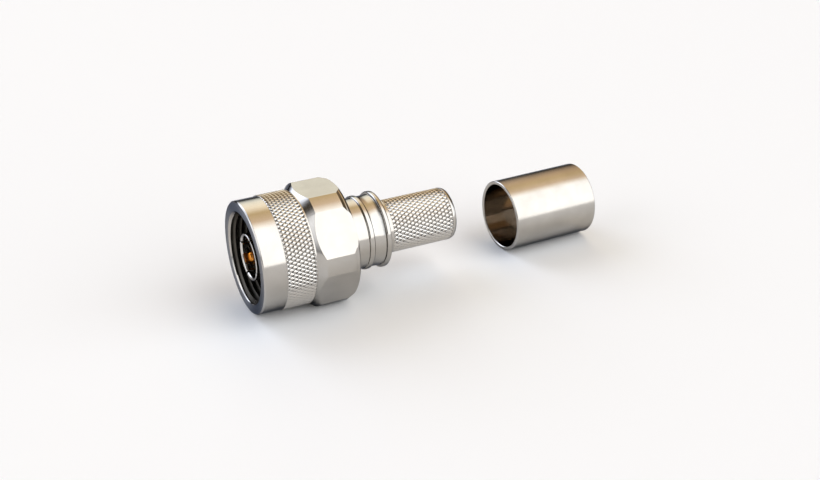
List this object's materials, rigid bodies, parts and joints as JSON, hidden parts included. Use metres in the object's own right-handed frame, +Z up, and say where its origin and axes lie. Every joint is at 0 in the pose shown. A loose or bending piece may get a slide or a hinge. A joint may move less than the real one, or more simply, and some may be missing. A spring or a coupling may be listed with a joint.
{
  "type": "n type connector",
  "caption": "Straight type N cable plug of the crimp pattern, with a knurled and hexagonal coupling nut, and its loose crimp ferrule lying behind the stem.",
  "frame": {"origin": "on the plug's axis at the reference plane, the front end of the outer contact", "axes": "+X along the plug from the mating face to the cable, +Z up with the plug lying down"},
  "size_m": [0.0661, 0.0214, 0.02],
  "materials": {
    "nickel_plated_brass": "bright nickel plate over turned brass",
    "phosphor_bronze": "spring strip, plain",
    "silicone_rubber": "moulded, matt",
    "white_bronze_plated_brass": "bright plate over turned brass",
    "ptfe": "turned, waxy",
    "gold_plated_brass": "gold plate over turned brass",
    "nickel_plated_copper": "satin nickel plate over drawn tube"
  },
  "bodies": {
    "plug": {"retaining_ring": "phosphor_bronze", "mating_gasket": "silicone_rubber", "plug_body": "nickel_plated_brass", "outer_contact": "white_bronze_plated_brass", "front_insulator": "ptfe", "rear_insulator": "ptfe", "centre_contact": "gold_plated_brass", "crimp_stem": "nickel_plated_brass", "crimp_ferrule": "nickel_plated_copper"},
    "coupling_nut": {"coupling_nut": "nickel_plated_brass"}
  },
  "joints": [
    {"name": "nut_spin", "type": "hinge", "parent": "plug", "child": "coupling_nut", "pos_m": [0, 0, 0], "axis": [1, 0, 0], "continuous": true}
  ]
}
